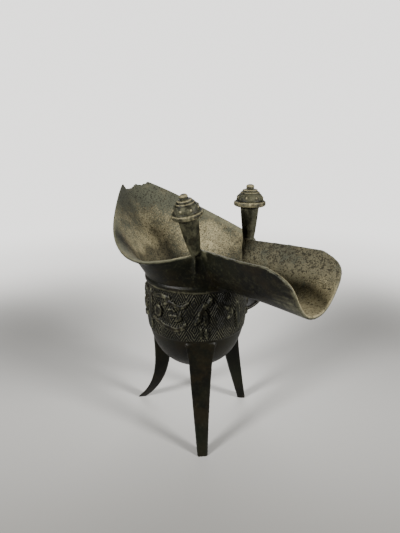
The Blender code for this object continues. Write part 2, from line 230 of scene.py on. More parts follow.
def wallOutline(azimuth):
    # From the outer pole up over the rim and down to the inner pole, as (radius, height).
    wall = bowl["wall"]
    ring = bowl["neckRadius"] + bowl["ringProud"]
    top = bowl["bandTop"]
    tall = bowl["ringHeight"]
    bandShare = bottomShare(bowl["bandBottom"])
    outline = [curveAt(bottomCurve, bandShare * row / 30) for row in range(31)]
    for row in range(24):
        z = bowl["bandBottom"] + (0.01 + 0.99 * row / 23) * (top - bowl["bandBottom"])
        outline.append((bowlRadius(z) + bowl["bandProud"], z))
    outline += [
        (ring - 0.25, top + 0.06 * tall), (ring, top + 0.18 * tall), (ring, top + 0.34 * tall),
        (ring - 0.6, top + 0.44 * tall), (ring - 0.6, top + 0.52 * tall),
        (ring, top + 0.62 * tall), (ring, top + 0.78 * tall), (ring - 0.3, top + 0.9 * tall),
    ]
    curve = flareCurve(azimuth)
    outline += [curveAt(curve, row / 36) for row in range(37)]
    n = curveNormal(curve, 1.0)
    r, z = curve[3]
    for deep, proud in ((0.22, 0.3), (0.5, 0.42), (0.78, 0.3)):
        outline.append((r - deep * wall * n[0] - proud * n[1], z - deep * wall * n[1] + proud * n[0]))
    for row in range(36, -1, -1):
        n = curveNormal(curve, row / 36)
        r, z = curveAt(curve, row / 36)
        outline.append((r - wall * n[0], z - wall * n[1]))
    for share in (0.9, 0.7, 0.5, 0.3, 0.1):
        z = bowl["bandBottom"] + share * (top - bowl["bandBottom"])
        outline.append((bowlRadius(z) - wall, z))
    for row in range(24, -1, -1):
        t = bandShare * row / 24
        n = curveNormal(bottomCurve, t)
        r, z = curveAt(bottomCurve, t)
        outline.append((max(r - wall * n[0], 0.0), z - wall * n[1]))
    return outline


outerRows = 31 + 24 + 8 + 37
azimuths = []
for i in range(bowl["columns"]):
    turn = 2.0 * i / bowl["columns"] - 1.0
    azimuths.append(180.0 * math.copysign(abs(turn) + 0.16 * math.sin(math.pi * abs(turn)), turn))
outlines = [wallOutline(a) for a in azimuths]
wallRings = [
    [aroundAxis(outline[row][0], a, outline[row][1]) for outline, a in zip(outlines, azimuths)]
    for row in range(len(outlines[0]))
]
vessel = wrapGrid("jueVessel", wallRings, closeEnds=False)
print("bowl, mouth and tail are raised")


# Spout

spout = {
    "reach": 95.3,
    "halfWidth": 24.4,
    "rootHalfWidth": 20.6,
    "bottom": 109.9,
    "rimRoot": 135.2,
    "rimEnd": 138.4,
    "cutback": 16.0,
    "rootX": 25.0,
}


def spoutSection(x, inset, steps=36):
    share = softStep(spout["rootX"], 0.78 * spout["reach"], x)
    half = spout["rootHalfWidth"] + (spout["halfWidth"] - spout["rootHalfWidth"]) * share - inset
    floor = spout["bottom"] + inset
    along = min(max((x - spout["rootX"]) / (spout["reach"] - spout["rootX"]), 0.0), 1.0)
    rim = spout["rimRoot"] + (spout["rimEnd"] - spout["rimRoot"]) * along
    fullness = 0.27 + 0.15 * share
    section = []
    for i in range(-steps, steps + 1):
        rise = math.sin(0.5 * math.pi * abs(i) / steps) ** 2.1
        section.append((math.copysign(half * rise ** fullness, i), floor + (rim - floor) * rise))
    return section


def spoutEnd(z):
    share = min(max((z - spout["bottom"]) / (spout["rimEnd"] - spout["bottom"]), 0.0), 1.0)
    return spout["reach"] - spout["cutback"] * share ** 8


def spoutRow(share, inset):
    row = []
    root = bowl["neckRadius"] - bowl["wall"] + 0.2
    guess = spout["rootX"] + (spout["reach"] - spout["rootX"]) * share
    for y, z in spoutSection(guess, inset):
        start = math.sqrt(max(root ** 2 - y * y, 1.0))
        row.append(Vector((start + (spoutEnd(z) - start) * share, y, z)))
    return row


spoutRings = []
stations = 48
for k in range(stations + 1):
    share = k / stations
    outer = spoutRow(share, 0.0)
    inner = spoutRow(share, bowl["wall"])
    middle = [0.5 * (a + b) for a, b in zip(outer, inner)]
    if k == 0:
        spoutRings.append(middle + middle[::-1])
    spoutRings.append(outer + inner[::-1])
    if k == stations:
        spoutRings.append([p + Vector((0.3, 0, 0)) for p in middle + middle[::-1]])
channel = wrapGrid("spoutChannel", spoutRings, closeEnds=False)

openingRings = []
for x in (8.0, spout["rootX"], bowl["neckRadius"] + 12.0):
    section = spoutSection(x, 0.5 * bowl["wall"])
    section = [(section[0][0], 158.0)] + section + [(section[-1][0], 158.0)]
    openingRings.append([Vector((x, y, z)) for y, z in section])
cutAway(vessel, wrapGrid("spoutOpening", openingRings))


# The tail's broken end: a plan of the break, as (share of the tail's reach, mm across)

breakEdge = (
    (-0.980, -30.0), (-0.980, -11.6), (-0.972, -10.9), (-0.950, -10.0), (-0.953, -8.5), (-0.965, -6.5),
    (-0.978, -4.0), (-0.990, -1.8), (-0.998, 0.0), (-1.000, 1.6), (-0.992, 2.6), (-0.994, 4.0),
    (-0.986, 5.4), (-0.990, 7.0), (-0.975, 8.0), (-0.978, 10.5), (-0.965, 30.0),
)
reach = mouth["tailReach"] - mouth["tailLost"]
breakPlan = [(reach * x, y) for x, y in breakEdge] + [(-110.0, 30.0), (-110.0, -30.0)]
breakRings = [[Vector((x, y, z)) for x, y in breakPlan] for z in (120.0, 200.0)]
cutAway(vessel, wrapGrid("tailBreak", breakRings))
print("spout is opened and the tail's end is broken")


# Legs, each as (azimuth, curl in mm, how late it curls)

legs = {
    "top": 73.5,
    "bend": 56.0,
    "proud": 0.1,
    "rootWidth": 19.5,
    "waistWidth": 14.6,
    "footWidth": 7.2,
    "rootDepth": 9.5,
    "footDepth": 5.2,
    "each": ((-34.9, 13.4, 1.7), (81.6, 11.0, 1.15), (-158.0, 19.4, 2.95)),
}


legFace = bowlRadius(legs["top"]) + legs["proud"]


def legRings(azimuth, curl, lateness):
    turn = Matrix.Rotation(math.radians(azimuth), 3, "Z")
    rings = []
    for row in range(61):
        z = legs["top"] * row / 60
        face = legFace + curl * max(1.0 - z / legs["bend"], 0.0) ** lateness
        rise = z / legs["top"]
        waist = legs["footWidth"] + (legs["waistWidth"] - legs["footWidth"]) * min(rise / 0.75, 1.0)
        flare = softStep(0.72 * legs["top"], legs["top"], z) ** 1.3
        half = 0.5 * (waist + (legs["rootWidth"] - legs["waistWidth"]) * flare)
        depth = legs["footDepth"] + (legs["rootDepth"] - legs["footDepth"]) * min(rise / 0.62, 1.0)
        ridge = face - depth
        if z > bowl["poleHeight"]:
            ridge = max(ridge, bowlRadius(z) - 0.55 * bowl["wall"])
        blunt = 0.18 * half
        shoulder = face - 0.32 * (face - ridge)
        section = (
            (face, -half + 0.8), (face + 0.1, 0.0), (face, half - 0.8), (face - 1.2, half),
            (shoulder, 0.86 * half), (ridge, blunt), (ridge, -blunt),
            (shoulder, -0.86 * half), (face - 1.2, -half),
        )
        rings.append([turn @ Vector((x, y, z)) for x, y in section])
    return rings


parts = [channel]
for number, leg in enumerate(legs["each"]):
    parts.append(wrapGrid(f"leg{number}", legRings(*leg)))


# Posts and their caps, each post as (side, lean in degrees, height, brim of the cap)

posts = {
    "x": 25.6,
    "footWidth": 4.6,
    "topWidth": 10.6,
    "sunk": 2.5,
    "capSunk": 0.4,
    "capHeight": 13.4,
    "bosses": 8,
    "bossSize": 1.0,
    "bossAt": (-62.0, 0.385, 0.42),     # first azimuth, share of the brim, share of the cap's height
    "ridges": (0.215, 0.64, 0.745),
    "grooves": (0.28, 0.59, 0.695, 0.81),
    "ridgeProud": 0.22,
    "lineWidth": 0.026,
    "each": ((-1, 13.6, 20.9, 18.4), (1, 0.0, 21.2, 19.8)),
    "cap": (
        (0.0, 0.0), (0.42, -0.02), (0.84, -0.01), (0.95, 0.02), (1.0, 0.06), (1.0, 0.17), (0.97, 0.215),
        (0.92, 0.235), (0.86, 0.24), (0.85, 0.31), (0.82, 0.40), (0.76, 0.49), (0.68, 0.565), (0.60, 0.61),
        (0.58, 0.65), (0.55, 0.675), (0.49, 0.68), (0.47, 0.70), (0.46, 0.75), (0.42, 0.775), (0.32, 0.78),
        (0.25, 0.80), (0.23, 0.83), (0.26, 0.88), (0.26, 0.93), (0.20, 0.98), (0.10, 1.0), (0.0, 1.0),
    ),
}


def postStand(side, lean):
    foot = Vector((posts["x"], side * (spout["rootHalfWidth"] + 1.3), spout["rimRoot"] - posts["sunk"]))
    return foot, Matrix.Rotation(-side * math.radians(lean), 3, "X")


def postRings(side, lean, height, brim):
    foot, tilt = postStand(side, lean)
    length = height + posts["sunk"]
    column = []
    for row in range(25):
        share = row / 24
        half = 0.5 * (posts["footWidth"] + (posts["topWidth"] - posts["footWidth"]) * share ** 0.6)
        cut = 0.55 * half
        section = (
            (half, -cut), (half, cut), (cut, half), (-cut, half),
            (-half, cut), (-half, -cut), (-cut, -half), (cut, -half),
        )
        column.append([foot + tilt @ Vector((x, y, share * length)) for x, y in section])
    cap = []
    for r, share in posts["cap"]:
        z = length - posts["capSunk"] + share * posts["capHeight"]
        cap.append([foot + tilt @ aroundAxis(0.5 * brim * r, 5.0 * i, z) for i in range(72)])
    return column, cap


def wedgeRings(side):
    corner = Vector((spout["rootX"] - 0.4, side * (spout["rootHalfWidth"] + 0.3), spout["rimRoot"]))
    out = Vector((0.3, side, 0.0)).normalized()
    along = Vector((-out.y, out.x, 0.0))
    rings = []
    for drop, half, proud in ((-0.7, 2.7, 2.9), (6.3, 3.3, 3.3), (13.7, 2.6, 2.6), (17.2, 1.1, 1.3)):
        centre = corner - Vector((0.0, 0.0, drop))
        rings.append([
            centre - along * half - out * 1.4, centre + along * half - out * 1.4,
            centre + along * 0.45 * half + out * proud, centre - along * 0.45 * half + out * proud,
        ])
    return rings


def addBosses(number, side, lean, height, brim):
    # Small round bosses stand round the dome.
    foot, tilt = postStand(side, lean)
    start, out, share = posts["bossAt"]
    rise = height + posts["sunk"] - posts["capSunk"] + share * posts["capHeight"]
    for k in range(posts["bosses"]):
        spot = foot + tilt @ aroundAxis(out * brim, start + 360.0 * k / posts["bosses"], rise)
        bpy.ops.mesh.primitive_uv_sphere_add(
            segments=16, ring_count=10, radius=0.001 * posts["bossSize"], location=toFrame(*spot)
        )
        boss = bpy.context.object
        bpy.ops.object.transform_apply(location=True, rotation=True, scale=True)
        boss.name = f"boss{number}_{k}"
        boss.select_set(False)
        parts.append(boss)


for number, post in enumerate(posts["each"]):
    column, cap = postRings(*post)
    addBosses(number, *post)
    parts.append(wrapGrid(f"column{number}", column))
    parts.append(wrapGrid(f"cap{number}", cap, closeEnds=False))
    parts.append(wrapGrid(f"wedge{number}", wedgeRings(post[0])))


# Handle

handle = {
    "azimuth": 83.0,
    "top": 104.0,
    "bottom": 76.0,
    "reach": 57.5,
    "width": 11.5,
    "thick": 3.4,
}

handleTurn = Matrix.Rotation(math.radians(handle["azimuth"]), 3, "Z")


def handleRings(steps=64):
    upper = bowlRadius(handle["top"]) - 0.4 * bowl["wall"]
    lower = bowlRadius(handle["bottom"]) - 0.4 * bowl["wall"]
    middle = 0.5 * (handle["top"] + handle["bottom"])
    rise = 0.5 * (handle["top"] - handle["bottom"])
    path = []
    for i in range(steps + 1):
        angle = math.pi * (0.5 - i / steps)
        c = math.copysign(abs(math.cos(angle)) ** 0.75, math.cos(angle))
        s = math.copysign(abs(math.sin(angle)) ** 0.75, math.sin(angle))
        root = 0.5 * (upper + lower) + 0.5 * (upper - lower) * s
        reach = handle["reach"] - root - 0.5 * handle["thick"]
        path.append((root + reach * c, middle + rise * s))
    rings = []
    half = 0.5 * handle["width"]
    deep = 0.5 * handle["thick"]
    section = (
        (-half, -0.5 * deep), (-0.8 * half, -deep), (0.8 * half, -deep), (half, -0.5 * deep),
        (half, 0.3 * deep), (0.7 * half, deep), (-0.7 * half, deep), (-half, 0.3 * deep),
    )
    for i, (r, z) in enumerate(path):
        before = path[max(i - 1, 0)]
        after = path[min(i + 1, steps)]
        slope = Vector((after[0] - before[0], 0.0, after[1] - before[1])).normalized()
        out = Vector((-slope.z, 0.0, slope.x))
        centre = Vector((r, 0.0, z))
        rings.append([handleTurn @ (centre + Vector((0.0, y, 0.0)) + out * d) for y, d in section])
    return rings


parts.append(wrapGrid("handleStrap", handleRings()))
print("legs, posts and handle are set on")


# One casting

casting = {
    "voxel": 0.00055,
    "smoothing": 3,
    "triangles": 190000,
}

bpy.ops.object.select_all(action="DESELECT")
for part in parts:
    part.select_set(True)
vessel.select_set(True)
bpy.context.view_layer.objects.active = vessel
bpy.ops.object.join()
vessel.name = "jueVessel"
applyModifier(vessel, "REMESH", mode="VOXEL", voxel_size=casting["voxel"])
applyModifier(vessel, "SMOOTH", factor=0.5, iterations=casting["smoothing"])


# Carved band: an animal mask faces away from the handle, and a plainer one lies under it

carving = {
    "front": -97.0,
    "back": 83.0,
    "proud": 0.95,
    "edge": 0.7,
    "eyeAt": 14.0,
    "eyeHeight": 94.3,
    "eyeWide": 3.3,
    "eyeTall": 4.3,
}

# One half of the mask: width in mm, then (degrees from its nose, height) along each stroke
halfMask = (
    (3.4, ((5.0, 102.6), (12.0, 104.2), (20.0, 104.4), (28.5, 104.0))),
    (3.7, (
        (4.0, 88.4), (9.0, 87.6), (15.0, 86.9), (22.0, 85.2),
        (31.0, 83.9), (38.0, 84.0), (43.5, 85.6), (46.0, 88.4),
    )),
    (3.0, ((22.0, 99.4), (28.0, 101.4), (33.0, 100.6), (38.5, 98.9), (44.0, 99.5), (49.5, 102.4))),
    (2.7, ((41.0, 95.4), (40.2, 91.6), (36.0, 89.6))),
    (2.2, ((28.0, 93.2), (33.0, 92.8), (37.0, 93.4))),
    (2.0, ((27.0, 96.6), (31.5, 97.0), (35.0, 96.0))),
)
frontBranches = (
    (3.2, ((72.8, 104.4), (70.0, 101.0), (65.6, 100.2), (62.6, 96.4), (60.0, 92.0), (56.0, 88.4))),
    (2.7, ((66.0, 97.4), (66.8, 92.6), (66.6, 87.6))),
    (2.0, ((62.0, 85.4), (62.2, 81.4), (62.2, 78.2))),
    (2.0, ((67.2, 84.6), (67.6, 81.0), (67.8, 78.2))),
)
backStrips = (
    (4.6, ((72.0, 81.4), (73.4, 88.0), (74.6, 94.0), (75.4, 99.0))),
    (3.0, ((91.0, 98.0), (84.6, 95.0), (84.6, 91.6), (88.6, 90.2))),
)


def strokeCover(u, z, width, route):
    # How far inside a stroke each point lies, in mm; the ends are narrower than the middle.
    best = np.full(len(u), -99.0)
    last = len(route) - 1
    for i in range(last):
        a = np.array(route[i])
        b = np.array(route[i + 1])
        run = b - a
        t = np.clip(((u - a[0]) * run[0] + (z - a[1]) * run[1]) / (run @ run), 0.0, 1.0)
        away = np.hypot(u - a[0] - t * run[0], z - a[1] - t * run[1])
        along = (i + t) / last
        half = 0.5 * width * (0.45 + 0.55 * np.sqrt(np.clip(4.0 * along * (1.0 - along), 0.0, 1.0)))
        best = np.maximum(best, half - away)
    return best


def carve(azimuth, z):
    # Height of the carving over the band, and how much of it is a raised stroke.
    degree = math.radians(1.0) * (bowl["radius"] + bowl["bandProud"])
    cover = np.full(len(azimuth), -99.0)
    extra = np.zeros(len(azimuth))
    for centre, strokes in (
        (carving["front"], halfMask + frontBranches), (carving["back"], halfMask + backStrips),
    ):
        turned = (azimuth - centre + 180.0) % 360.0 - 180.0
        u = np.abs(turned) * degree
        for width, route in strokes:
            cover = np.maximum(cover, strokeCover(u, z, width, [(a * degree, h) for a, h in route]))
        eye = np.hypot(
            (u - carving["eyeAt"] * degree) / carving["eyeWide"],
            (z - carving["eyeHeight"]) / carving["eyeTall"],
        )
        cover = np.maximum(cover, (1.0 - eye) * carving["eyeWide"])
        extra += 0.6 * np.sqrt(np.clip(1.0 - eye * eye, 0.0, 1.0)) * (eye < 1.0)
        extra -= 0.5 * np.exp(-((eye / 0.2) ** 2))
        extra -= 0.3 * np.exp(-(((eye - 1.3) / 0.14) ** 2))
        if centre == carving["front"]:
            nose = strokeCover(u, z, 4.4, [(0.0, 79.5), (0.0, 92.0), (0.0, 105.8)])
            cover = np.maximum(cover, nose)
    rough = 0.16 * np.sin(azimuth * 1.9 + z * 2.3) + 0.14 * np.sin(azimuth * 0.83 - z * 3.1)
    t = np.clip(0.5 + (cover + rough) / carving["edge"] * 0.5, 0.0, 1.0)
    raised = t * t * (3.0 - 2.0 * t)
    moat = np.exp(-(((cover + 0.8) / 0.4) ** 2))     # a cut line runs round every stroke
    seam = np.exp(-((((azimuth + 25.5) * degree) / 0.5) ** 2)) * (z > 79.0) * (z < 97.0)
    worn = 0.12 * np.sin(azimuth * 0.61 + z * 0.4) * raised
    return carving["proud"] * raised + extra - 0.18 * moat - 0.4 * seam * (1.0 - raised) + worn, raised


def pointsOf(piece):
    flat = np.empty(3 * len(piece.data.vertices))
    piece.data.vertices.foreach_get("co", flat)
    return flat.reshape(-1, 3)


def aroundBowl(points):
    mm = (points + np.array(axisPlace)) * 1000.0
    return mm, np.hypot(mm[:, 0], mm[:, 1]), np.degrees(np.arctan2(mm[:, 1], mm[:, 0]))


bandHeights = np.linspace(bowl["bandBottom"], bowl["bandTop"], 60)
bandRadii = np.array([bowlRadius(z) + bowl["bandProud"] for z in bandHeights])


def bandFade(mm, radius):
    # One on the band's outer face, none on the wall's inside, the legs or the handle.
    off = np.abs(radius - np.interp(mm[:, 2], bandHeights, bandRadii))
    fade = 1.0 - np.clip((off - 0.35) / 0.9, 0.0, 1.0)
    low = np.clip((mm[:, 2] - bowl["bandBottom"]) / 1.2, 0.0, 1.0)
    high = np.clip((bowl["bandTop"] - 0.6 - mm[:, 2]) / 0.8, 0.0, 1.0)
    return fade * low * high


def capLines(mm):
    # Ridges and grooves turned round each cap: their strength at each point, and the way out from the axis.
    ridge = np.zeros(len(mm))
    groove = np.zeros(len(mm))
    away = np.zeros_like(mm)
    for side, lean, height, brim in posts["each"]:
        foot, tilt = postStand(side, lean)
        local = (mm - np.array(foot)) @ np.array(tilt)
        share = (local[:, 2] - height - posts["sunk"] + posts["capSunk"]) / posts["capHeight"]
        wide = np.hypot(local[:, 0], local[:, 1])
        onCap = (share > 0.1) & (share < 1.05) & (wide < 0.55 * brim)
        for lines, strength in ((posts["ridges"], ridge), (posts["grooves"], groove)):
            for at in lines:
                line = onCap * np.exp(-(((share - at) / posts["lineWidth"]) ** 2))
                np.maximum(strength, line, out=strength)
        local[:, 2] = 0.0
        away[onCap] = ((local / np.maximum(wide, 0.5)[:, None]) @ np.array(tilt).T)[onCap]
    return ridge, groove, away


points = pointsOf(vessel)
mm, radius, azimuth = aroundBowl(points)
ridge, groove, away = capLines(mm)
points += away * (0.001 * posts["ridgeProud"] * (ridge - groove))[:, None]
fade = bandFade(mm, radius)
onBand = fade > 0.0
height, _ = carve(azimuth[onBand], mm[onBand, 2])
push = (height * fade[onBand] * 0.001)[:, None]
outward = np.stack([mm[onBand, 0], mm[onBand, 1], np.zeros(onBand.sum())], 1) / radius[onBand, None]
points[onBand] += outward * push
vessel.data.vertices.foreach_set("co", points.ravel())
vessel.data.update()
print("band is carved")

faces = sum(len(p.vertices) - 2 for p in vessel.data.polygons)
print("one casting of", faces, "triangles before thinning")
applyModifier(vessel, "DECIMATE", ratio=min(1.0, casting["triangles"] / faces))
vessel.data.shade_smooth()
print("thinned to", len(vessel.data.polygons))


# Where the finish changes: inside, lip, painted shade down the throat, rim, worn edges and the painted
# highlight on the cap ridges, hollows and the painted shade in the cap grooves, carved ground

def sheetTree(rings, closed):
    # A closed sheet goes all round the bowl and leaves out what the spout's opening cut away.
    rows = len(rings)
    count = len(rings[0])
    places = [toFrame(*p) for ring in rings for p in ring]
    faces = []
    for row in range(rows - 1):
        for i in range(count if closed else count - 1):
            j = (i + 1) % count
            a = row * count
            face = (a + i, a + j, a + count + j, a + count + i)
            if closed:
                middle = (places[face[0]] + places[face[2]]) * 0.5 + axisPlace
                if middle.x > 0.012 and abs(middle.y) < 0.0195 and middle.z > 0.112:
                    continue
            faces.append(face)
    return BVHTree.FromPolygons(places, faces)


spoutOuter = [spoutRow(k / 24, 0.0) for k in range(25)]
spoutInner = [spoutRow(k / 24, bowl["wall"]) for k in range(25)]
outerTrees = (sheetTree(wallRings[:outerRows], True), sheetTree(spoutOuter, False))
innerTrees = (sheetTree(wallRings[outerRows + 3:], True), sheetTree(spoutInner, False))
points = pointsOf(vessel)
near = np.empty((len(points), 2))
for i, place in enumerate(points):
    where = Vector(place)
    near[i] = (
        min(tree.find_nearest(where)[3] for tree in outerTrees),
        min(tree.find_nearest(where)[3] for tree in innerTrees),
    )
near *= 1000.0
mm, radius, azimuth = aroundBowl(points)
onWall = np.clip(1.6 - near.min(1), 0.0, 1.0)
inside = np.clip(0.5 + 0.5 * (near[:, 0] - near[:, 1]) / (0.7 * bowl["wall"]), 0.0, 1.0) * onWall
rim = np.clip(1.15 - 1.3 * np.abs(near[:, 0] - near[:, 1]) / bowl["wall"], 0.0, 1.0) * onWall

edges = np.empty(2 * len(vessel.data.edges), dtype=int)
vessel.data.edges.foreach_get("vertices", edges)
edges = edges.reshape(-1, 2)
normals = np.empty(3 * len(points))
vessel.data.vertices.foreach_get("normal", normals)
normals = normals.reshape(-1, 3)


def nextTo(values):
    # Mean of the neighbours' values at every point.
    total = np.zeros_like(values)
    count = np.zeros(len(values))
    for a, b in ((0, 1), (1, 0)):
        np.add.at(total, edges[:, a], values[edges[:, b]])
        np.add.at(count, edges[:, a], 1.0)
    return total / (count[:, None] if values.ndim == 2 else count)


spread = points
for _ in range(2):
    spread = nextTo(spread)
bend = ((points - spread) * normals).sum(1) * 1000.0
for _ in range(2):
    bend = 0.5 * bend + 0.5 * nextTo(bend)
raised = carve(azimuth, mm[:, 2])[1]
ridge, groove, _ = capLines(mm)
onBand = bandFade(mm, radius)


def ramp(values, start, end):
    # Nothing up to start, one from end on; end may be the smaller of the two.
    return np.clip((values - start) / (end - start), 0.0, 1.0)


finish = {
    "curvature": 0.16,          # mm that stands for a fully worn edge or a full hollow
    "lip": (5.2, 4.3),          # mm from the rim over which the pale lip begins
    "underLip": (4.6, 6.0),
    "throatShade": (125.0, 121.5),   # heights over which painted shade darkens the throat
    "lipFrom": (42.0, 54.0),    # the lip's and the tail side's ends, as azimuths
    "lipTo": (158.0, 128.0),
    "tailFrom": (-70.0, -86.0),
    "tailTo": (165.0, 175.0),
    # painted highlight on the cap ridges and painted shade in the cap grooves
    "ridgeHighlight": 0.62,
    "grooveShade": 0.80,
}

rimRow = sorted((a, *outline[outerRows - 1]) for a, outline in zip(azimuths, outlines))
rimAzimuths, rimRadii, rimHeights = np.array(rimRow).T
fromRim = np.hypot(
    radius - np.interp(azimuth, rimAzimuths, rimRadii),
    mm[:, 2] - np.interp(azimuth, rimAzimuths, rimHeights),
)
sideways = ramp(np.abs(azimuth), *finish["lipFrom"]) * ramp(np.abs(azimuth), *finish["lipTo"])
tailSide = ramp(azimuth, *finish["tailFrom"]) + ramp(azimuth, *finish["tailTo"])
wavy = mm[:, 2] - 2.0 * np.sin(azimuth * 0.23)
throatShade = ramp(wavy, *finish["throatShade"]) * ramp(fromRim, *finish["underLip"])
masks = {
    "throatShade": throatShade * tailSide * (inside > 0.5),
    "lip": ramp(fromRim, *finish["lip"]) * sideways * (inside > 0.5),
    "inside": inside,
    "rim": rim,
    # worn: wear on convex edges, plus the painted highlight on the cap ridges; hollow: darker in concave
    # places, plus the painted shade in the cap grooves
    "worn": np.maximum(ramp(bend, 0.0, finish["curvature"]), finish["ridgeHighlight"] * ridge),
    "hollow": np.maximum(ramp(bend, 0.0, -finish["curvature"]), finish["grooveShade"] * groove),
    "ground": onBand * (1.0 - raised),
}
for name, values in masks.items():
    layer = vessel.data.attributes.new(name, "FLOAT", "POINT")
    layer.data.foreach_set("value", values.astype(np.float32))
print("finish is mapped:", {name: round(float(values.mean()), 3) for name, values in masks.items()})


# Bronze

class Wire:
    # One output in a node tree; arithmetic on wires makes math nodes.
    def __init__(self, tree, socket=None):
        self.tree = tree
        self.socket = socket

    def make(self, kind, output=0, inputs=None, **settings):
        node = self.tree.nodes.new(kind)
        for key, value in settings.items():
            setattr(node, key, value)
        for key, value in (inputs or {}).items():
            self.feed(node.inputs[key], value)
        return Wire(self.tree, node.outputs[output])

    def feed(self, socket, value):
        if isinstance(value, Wire):
            self.tree.links.new(value.socket, socket)
        else:
            socket.default_value = value

    def sum(self, kind, *values):
        return self.make("ShaderNodeMath", inputs=dict(enumerate(values)), operation=kind)

    def __add__(self, other):
        return self.sum("ADD", self, other)

    def __radd__(self, other):
        return self.sum("ADD", other, self)

    def __sub__(self, other):
        return self.sum("SUBTRACT", self, other)

    def __rsub__(self, other):
        return self.sum("SUBTRACT", other, self)

    def __mul__(self, other):
        return self.sum("MULTIPLY", self, other)

    def __rmul__(self, other):
        return self.sum("MULTIPLY", other, self)

    def __truediv__(self, other):
        return self.sum("DIVIDE", self, other)

    def __rtruediv__(self, other):
        return self.sum("DIVIDE", other, self)

    def step(self, low, high):
        return self.make(
            "ShaderNodeMapRange", inputs={0: self, 1: low, 2: high}, interpolation_type="SMOOTHSTEP"
        )

    def mix(self, low, high):
        return self.make("ShaderNodeMix", output=2, inputs={0: self, 6: low, 7: high}, data_type="RGBA")


def colour(r, g, b):
    return (r, g, b, 1.0)


patina = {
    "dark": colour(0.0012, 0.0012, 0.0006),
    "brown": colour(0.0052, 0.0036, 0.0012),
    "green": colour(0.0036, 0.0046, 0.0016),
    "dust": colour(0.024, 0.024, 0.012),
    "worn": colour(0.095, 0.092, 0.058),
    "capDust": colour(0.060, 0.058, 0.034),
    "insideGrey": colour(0.047, 0.048, 0.032),
    "insideTan": colour(0.098, 0.087, 0.051),
    "insideOchre": colour(0.252, 0.216, 0.120),
    "insideDark": colour(0.0042, 0.0040, 0.0022),
    "lozengesAround": 22,
    "lozengeTall": 17.0,
    "lozengeRings": 3,
    "lozengeAt": (-42.0, 101.0),
    # height of the painted highlight along the band's top edge
    "ringGlintAt": bowl["bandTop"] - 0.2,
    "legTop": (74.5, 78.0),         # heights over which each finish begins
    "columnFrom": (128.0, 134.0),
    "columnAt": (0.019, 0.0335),    # metres along x
    "capFrom": (151.0, 156.0),
}

bronze = bpy.data.materials.new("patinatedBronze")
bronze.use_nodes = True
shader = bronze.node_tree.nodes["Principled BSDF"]
w = Wire(bronze.node_tree)
place = w.make("ShaderNodeTexCoord", output="Object")
fromAxis = w.make("ShaderNodeVectorMath", inputs={0: place, 1: tuple(axisPlace)}, operation="ADD")
x = w.make("ShaderNodeSeparateXYZ", output=0, inputs={0: fromAxis})
y = w.make("ShaderNodeSeparateXYZ", output=1, inputs={0: fromAxis})
z = w.make("ShaderNodeSeparateXYZ", output=2, inputs={0: fromAxis}) * 1000.0


def mask(name):
    return w.make("ShaderNodeAttribute", output="Fac", attribute_name=name)


def noise(scale, detail=4.0, rough=0.55, warp=0.0):
    return w.make(
        "ShaderNodeTexNoise",
        inputs={
            "Vector": place, "Scale": scale, "Detail": detail, "Roughness": rough, "Distortion": warp,
        },
    )


insideMask = mask("inside")
rimMask = mask("rim")
wornMask = mask("worn")
hollowMask = mask("hollow")
groundMask = mask("ground")

# Nested lozenges on the carved ground, counted round the bowl and up it
turn = w.sum("ARCTAN2", y, x) * (180.0 / math.pi)
across = (turn - patina["lozengeAt"][0]) * (patina["lozengesAround"] / 360.0)
up = (z - patina["lozengeAt"][1]) / patina["lozengeTall"]
wobble = (noise(150.0, 3.0) - 0.5) * 0.16
acrossWave = w.sum("PINGPONG", across + wobble, 0.5) * 2.0
upWave = w.sum("PINGPONG", up + wobble, 0.5) * 2.0
nest = (acrossWave + upWave) * patina["lozengeRings"]
line = w.sum("PINGPONG", nest, 0.5) * 2.0
ridges = line.step(0.40, 0.92)
groove = (1.0 - ridges) * groundMask

big = noise(26.0, 3.0, 0.5, 0.4)
blotch = noise(85.0, 7.0, 0.70, 0.2)
mottle = noise(240.0, 6.0, 0.75, 0.1)
grain = noise(640.0, 4.0, 0.8)
speck = noise(1250.0, 2.0, 0.7)

# outside: nearly black bronze, brown and green by turns, with dust in the light places
outside = blotch.step(0.42, 0.62).mix(patina["dark"], patina["brown"])
outside = (big.step(0.42, 0.62) * 0.6).mix(outside, patina["green"])
flecks = (grain * 0.6 + mottle * 0.4).step(0.51, 0.62)
outside = (flecks * (0.15 + z.step(70.0, 82.0) * 0.40)).mix(outside, patina["dust"])
# painted highlight: a light line along the band's top edge below the flare, in the worn colour
ringGlint = z.step(patina["ringGlintAt"] - 1.0, patina["ringGlintAt"] - 0.4)
ringGlint = ringGlint * (1.0 - z.step(patina["ringGlintAt"] + 0.4, patina["ringGlintAt"] + 1.0))
ringGlint = ringGlint * (1.0 - insideMask) * turn.step(-24.0, -30.0)
outside = (ringGlint * mottle.step(0.35, 0.55) * 0.75).mix(outside, patina["worn"])
wornSpots = wornMask.step(0.3, 1.0) * mottle.step(0.3, 0.6) * z.step(*patina["legTop"])
outside = (wornSpots * 0.75).mix(outside, patina["worn"])
outside = (hollowMask.step(0.15, 0.8) * 0.8).mix(outside, patina["dark"])
outside = (ridges * groundMask * (0.14 + blotch.step(0.38, 0.62) * 0.52)).mix(outside, patina["worn"])
outside = (groove * 0.97).mix(outside, patina["dark"])
capMask = z.step(*patina["capFrom"]) * (1.0 - insideMask) * (1.0 - hollowMask.step(0.1, 0.6) * 0.85)
capMask = capMask * w.sum("GREATER_THAN", x, 0.012)
columnMask = z.step(*patina["columnFrom"]) * (1.0 - insideMask)
columnMask = columnMask * w.sum("GREATER_THAN", x, patina["columnAt"][0])
columnMask = columnMask * w.sum("LESS_THAN", x, patina["columnAt"][1])
columnMask = columnMask * (z + w.sum("ABSOLUTE", y) * 1000.0).step(143.0, 146.0)
columnDust = 0.06 + (mottle * 0.5 + blotch * 0.5).step(0.44, 0.60) * 0.50
outside = (columnMask * columnDust).mix(outside, patina["capDust"])
